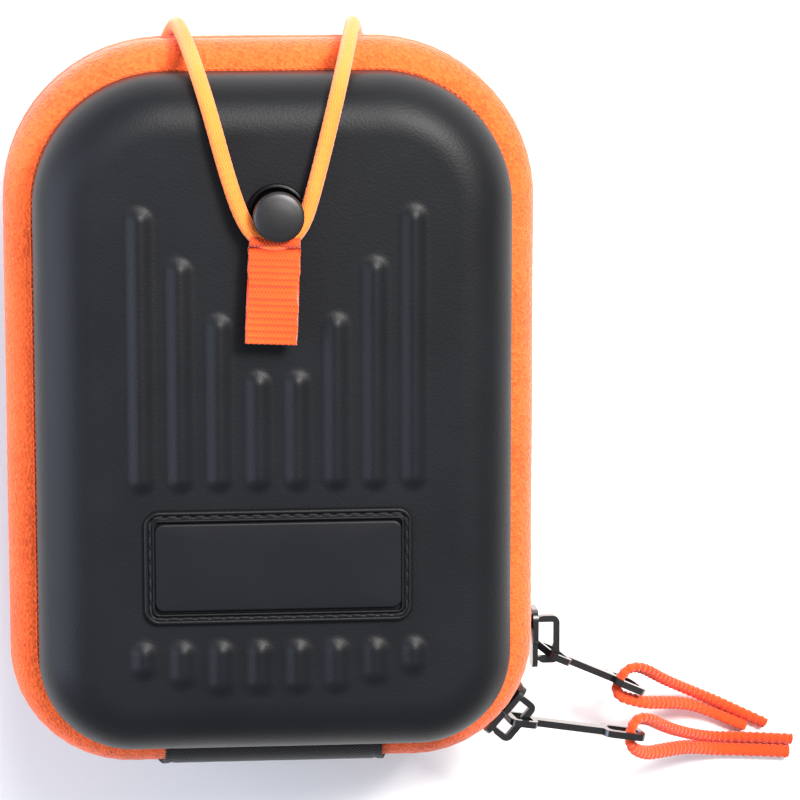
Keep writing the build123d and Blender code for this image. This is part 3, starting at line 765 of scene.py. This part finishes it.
# ======================================================================= elastic and tab
def diamond_braid(pitch, strands, depth):
    """Relief of a round braid: two families of strands that cross along the cord."""
    return lambda s, a: depth * (np.sin(2 * math.pi * s / pitch + strands * a)
                                 * np.sin(2 * math.pi * s / pitch - strands * a))


class CASE_OT_elastic(bpy.types.Operator):
    """The elastic cord from eyelet to eyelet, and the knots that stop it inside"""

    bl_idname = "case.elastic"
    bl_label = "Elastic cord"

    def execute(self, context):
        cord, path, length = cord_piece(
            "elastic_closure_cord", ELASTIC_ROUTE, ELASTIC_D, ELASTIC_D,
            diamond_braid(3.2, 5, 0.03), (1, 0, 0),
            finish="elastic_cord", stands_for=["elastic_front_loop", "elastic_rear_strands"],
        )
        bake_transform(cord)
        for name, x in (("left", -EYELET_X), ("right", EYELET_X)):
            # an overhand knot: the line of a trefoil, drawn tight
            turn = np.linspace(0, 2 * math.pi, KNOT_POINTS, endpoint=False)
            line = np.column_stack([np.sin(turn) + 2 * np.sin(2 * turn),
                                    np.cos(turn) - 2 * np.cos(2 * turn), -np.sin(3 * turn)])
            path = line * (0.62, 0.62, 0.95) + (x, EYELET_Y, KNOT_Z)
            ahead = np.roll(path, -1, 0) - np.roll(path, 1, 0)
            ahead /= np.linalg.norm(ahead, axis=1, keepdims=True)
            across = np.cross(ahead, (0.0, 0.0, 1.0))
            across /= np.linalg.norm(across, axis=1, keepdims=True)
            up = np.cross(ahead, across)
            around = np.linspace(0, 2 * math.pi, 16, endpoint=False)
            points = path[:, None] + KNOT_CORD_R * (across[:, None] * np.cos(around)[None, :, None]
                                             + up[:, None] * np.sin(around)[None, :, None])
            along = np.arange(KNOT_POINTS) * 0.2
            grid_piece(f"elastic_knot_{name}", points, wrap_rows=True, wrap_columns=True,
                       u=around * 1.2, v=along, finish="elastic_cord", body="root",
                       stands_for=["elastic_stop_knots"])
        return {"FINISHED"}


class CASE_OT_tab(bpy.types.Operator):
    """The pull tab: webbing folded round the cord, pressed flat at its seam"""

    bl_idname = "case.tab"
    bl_label = "Pull tab"

    def execute(self, context):
        bight_y, bight_z, foot, tail_z = 35.7, 59.4, 16.1, 60.1
        wrap = arc((bight_y, bight_z), 1.98, 250, -70, 26)[::-1]
        top_z = tail_z + 0.85
        upper = np.column_stack([np.linspace(bight_y - 2.4, foot + 0.4, 110),
                                 np.linspace(bight_z + 1.3, top_z + 0.3, 110)])
        end = np.array([(foot, tail_z + 0.9), (foot - 0.05, tail_z + 0.2), (foot + 0.1, tail_z - 0.5)])
        lower = np.column_stack([np.linspace(foot + 0.5, bight_y - 2.2, 110),
                                 np.linspace(tail_z - 0.72, bight_z - 1.5, 110)])
        ring = wrap[(wrap[:, 0] > bight_y - 1.3)]
        section = np.vstack([ring, lower[::-1], end[::-1], upper[::-1]])
        for _ in range(4):
            section = (np.roll(section, 1, 0) + 2 * section + np.roll(section, -1, 0)) / 4
        heading = np.roll(section, -1, 0) - np.roll(section, 1, 0)
        heading /= np.linalg.norm(heading, axis=1, keepdims=True)
        out = np.column_stack([heading[:, 1], -heading[:, 0]])
        if np.sum(out * (section - section.mean(0))) < 0:
            out = -out
        y = section[:, 0]
        seam = 26.6
        # weft ribs below the seam, a finer weave above it, and the seam pressed in
        ribs = 0.16 * np.sin(2 * math.pi * y / 1.25)
        press = -0.4 * np.exp(-((y - seam) / 0.75) ** 2) + 0.2 * np.exp(-((y - seam + 1.3) / 0.5) ** 2)
        on_tail = np.clip((bight_y - 2.0 - y) / 2, 0, 1)
        across = np.sin(np.linspace(-math.pi / 2, math.pi / 2, 41))
        warp = 0.05 * np.cos(np.pi * 9 * across)
        edge = np.sqrt(np.clip(1 - np.abs(across) ** 14, 0, 1))
        relief = (ribs + press)[:, None] * on_tail[:, None] + warp[None] * (y < seam)[:, None]
        spread = section[:, None] + out[:, None] * relief[..., None]
        mid = np.interp(y, [foot, bight_y - 5, bight_y], [tail_z + 0.2, tail_z - 0.1, bight_z])
        spread[..., 1] = mid[:, None] + (spread[..., 1] - mid[:, None]) * (0.35 + 0.65 * edge)[None]
        half_width = 4.95 - 0.35 * np.exp(-((y - seam) / 1.6) ** 2) + 0.1 * np.sin(y * 1.7)
        x = across[None] * half_width[:, None]
        turn = math.radians(-2.6)
        # the fold dips in the middle where it draws up against the knob's post
        dip = np.clip(1 - (x / 3.6) ** 2, 0, 1) * 0.9 * np.clip((y - bight_y) / 2, 0, 1)[:, None]
        along = spread[..., 0] - bight_y - dip
        points = np.stack([-0.6 + x * math.cos(turn) - along * math.sin(turn),
                           bight_y + x * math.sin(turn) + along * math.cos(turn), spread[..., 1]], -1)
        girth = np.append(0, np.cumsum(np.linalg.norm(np.diff(section, axis=0), axis=1)))
        grid_piece("pull_tab_webbing", points.transpose(1, 0, 2), wrap_columns=True, caps=True,
                   u=girth, v=across * 5, finish="tab_webbing", body="closure_loop",
                   stands_for=["pull_tab", "pull_tab_seam"])
        return {"FINISHED"}


# ======================================================================= pulls and strap
def ribbed(s, a):
    """Relief of a narrow ribbed braid: close slanting ribs across it, round a soft core."""
    return 0.13 * np.sin(2 * math.pi * s / 1.5 + 1.4 * np.cos(a)) + 0.03 * np.cos(6 * a)


class CASE_OT_braids(bpy.types.Operator):
    """The two braids, each folded through its pull, as four legs"""

    bl_idname = "case.braids"
    bl_label = "Pull braids"

    def execute(self, context):
        for name, route in BRAID_ROUTES.items():
            body = name[:6]
            leg, path, length = cord_piece(
                f"{name}_leg", route, BRAID_W, BRAID_T, ribbed, (0.0, 0.3, 0.95), 0.22, 24, 0.25,
                finish="braid", body=body, stands_for=[name],
            )
        return {"FINISHED"}


class CASE_OT_strap(bpy.types.Operator):
    """The belt strap on the back and its rows of stitches"""

    bl_idname = "case.strap"
    bl_label = "Belt strap"

    def execute(self, context):
        low, high, thick = strap_low, strap_high, 1.3
        foot, head, seam = low[1], high[1], 11.0
        marks = [foot, foot + seam - 0.6, foot + seam + 5.6, head - seam - 5.6, head - seam + 0.6, head]
        levels = [BACK_Z - thick, BACK_Z - thick, 0.0, 0.0, BACK_Z - thick, BACK_Z - thick]
        y = np.linspace(foot, head, 220)
        under = np.interp(y, marks, levels)
        for _ in range(3):
            under[1:-1] = (under[:-2] + 2 * under[1:-1] + under[2:]) / 4
        under = np.maximum(under, 0.0)
        ribs = 0.09 * np.sin(2 * math.pi * y / 1.6)
        section = np.vstack([np.column_stack([y, under + 0.1 + ribs * 0.9]),
                             np.column_stack([y, under + thick - 0.12])[::-1]])
        across = np.sin(np.linspace(-math.pi / 2, math.pi / 2, 61))
        edge = np.sqrt(np.clip(1 - np.abs(across) ** 30, 0, 1))
        middle = np.concatenate([under, under[::-1]]) + thick / 2
        z = middle[:, None] + (section[:, 1] - middle)[:, None] * (0.3 + 0.7 * edge)[None]
        x = np.broadcast_to(across * high[0], z.shape)
        points = np.stack([x, np.broadcast_to(section[:, :1], z.shape), z], -1)
        grid_piece("belt_strap_webbing", points.transpose(1, 0, 2), wrap_columns=True, caps=True,
                   u=section[:, 0], v=across * 19, finish="strap_webbing", body="root",
                   stands_for=["belt_strap"])
        rows = [foot + 2, foot + seam - 2.5, head - seam + 2.5, head - 2]
        spacing = np.arange(-16, 16.1, 2.6)
        places = np.array([(px, py, BACK_Z - thick - 0.02) for py in rows for px in spacing])
        heading = np.tile([1.0, 0.0, 0.0], (len(places), 1))
        up = np.tile([0.0, 0.0, -1.0], (len(places), 1))
        lumps("belt_strap_stitches", places, heading, up, (2.2, 0.6, 0.5), finish="thread",
              body="root", stands_for=["belt_strap_stitching"])
        return {"FINISHED"}


class CASE_OT_hardware(bpy.types.Operator):
    """Finish the moulded and metal CAD pieces that stay as they are"""

    bl_idname = "case.hardware"
    bl_label = "Hardware"

    def execute(self, context):
        slots = {s["node"]: s["material_slot"] for s in frame["record"]["subparts"]}
        for node, shown in frame["nodes"].items():
            if shown.hide_render:
                continue
            shown.data.materials.clear()
            shown.data.materials.append(material_for(slots[node]))
        return {"FINISHED"}


# ======================================================================= stage
def area_light(name, spot, target, size, power, colour):
    """A soft box at a spot, facing a target, both in metres."""
    data = bpy.data.lights.new(name, "AREA")
    data.shape, data.size, data.size_y = "RECTANGLE", size[0], size[1]
    data.energy, data.color = power, linear(colour)[:3]
    lamp = bpy.data.objects.new(name, data)
    lamp.location = spot
    lamp.rotation_euler = (Vector(target) - Vector(spot)).to_track_quat("-Z", "Y").to_euler()
    bpy.context.scene.collection.objects.link(lamp)


class CASE_OT_stage(bpy.types.Operator):
    """Camera from above, pale floor and soft studio light"""

    bl_idname = "case.stage"
    bl_label = "Stage"

    def execute(self, context):
        scene = context.scene
        data = bpy.data.cameras.new("camera")
        data.lens, data.sensor_width = 180.0, 36.0
        data.clip_start, data.clip_end = 0.01, 10.0
        camera = bpy.data.objects.new("camera", data)
        distance = 0.8
        lean, side = math.radians(10.0), math.radians(3.3)
        back = Vector((-math.sin(side) * math.cos(lean), math.sin(lean),
                       math.cos(side) * math.cos(lean))).normalized()
        middle = Vector((0.0, 0.0, MID_Z * MM))
        camera.location = middle + back * distance
        aim = Vector((0.0262, -0.0006, MID_Z * MM))
        ahead = (aim - camera.location).normalized()
        right = ahead.cross(Vector((0, 1, 0))).normalized()
        up = right.cross(ahead)
        camera.rotation_mode = "QUATERNION"
        camera.rotation_quaternion = Matrix((right, up, -ahead)).transposed().to_quaternion()
        scene.collection.objects.link(camera)
        scene.camera = camera

        reach = 6.0
        floor = mesh_piece("floor", np.array([(-1, -1, 0), (1, -1, 0), (1, 1, 0), (-1, 1, 0)]) * reach / MM,
                           [(0, 1, 2, 3)])
        material, tree, shader = finish_material("pale_paper", "F4F4F4", 0.9)
        shader.inputs["Specular IOR Level"].default_value = 0.1
        floor.data.materials.append(material)

        area_light("key_light", (0.34, 0.42, 0.75), (0.0, 0.0, 0.03), (0.22, 0.22), 11.0, "FFF8F0")
        area_light("left_box", (-0.62, -0.02, 0.24), (0.0, 0.0, 0.04), (0.5, 0.8), 7.0, "DCE8FF")
        area_light("overhead", (0.35, 0.85, 1.1), (0.03, 0.0, 0.0), (0.9, 0.6), 22.0, "FFFFFF")
        world = bpy.data.worlds.new("studio")
        world.use_nodes = True
        world.node_tree.nodes["Background"].inputs["Color"].default_value = linear("F6F7F9")
        world.node_tree.nodes["Background"].inputs["Strength"].default_value = 0.5
        scene.world = world
        scene.view_settings.view_transform = "Standard"
        return {"FINISHED"}


class CASE_PT_panel(bpy.types.Panel):
    """The case's pieces, in the order that they are built"""

    bl_label = "Rangefinder case"
    bl_idname = "CASE_PT_panel"
    bl_space_type = "VIEW_3D"
    bl_region_type = "UI"
    bl_category = "Case"

    def draw(self, context):
        for group in (context.scene.case_sizes, context.scene.case_colours):
            for key in group.__annotations__:
                self.layout.prop(group, key)
        for operator in OPERATORS:
            self.layout.operator(operator.bl_idname)


OPERATORS = [
    CASE_OT_stage, CASE_OT_elastic, CASE_OT_braids, CASE_OT_shells, CASE_OT_gusset, CASE_OT_zip,
    CASE_OT_hinge, CASE_OT_badge, CASE_OT_knob, CASE_OT_tab, CASE_OT_strap, CASE_OT_hardware,
]
CLASSES = [CaseColours, CaseSizes, *OPERATORS, CASE_PT_panel]


def register():
    """Add the classes, and their properties to the scene."""
    for made in CLASSES:
        bpy.utils.register_class(made)
    bpy.types.Scene.case_colours = bpy.props.PointerProperty(type=CaseColours)
    bpy.types.Scene.case_sizes = bpy.props.PointerProperty(type=CaseSizes)


def unregister():
    """Take them away again."""
    del bpy.types.Scene.case_sizes, bpy.types.Scene.case_colours
    for made in reversed(CLASSES):
        bpy.utils.unregister_class(made)


def main():
    """Build every piece."""
    register()
    for operator in OPERATORS:
        group, name = operator.bl_idname.split(".")
        getattr(getattr(bpy.ops, group), name)()


if __name__ == "__main__":
    main()
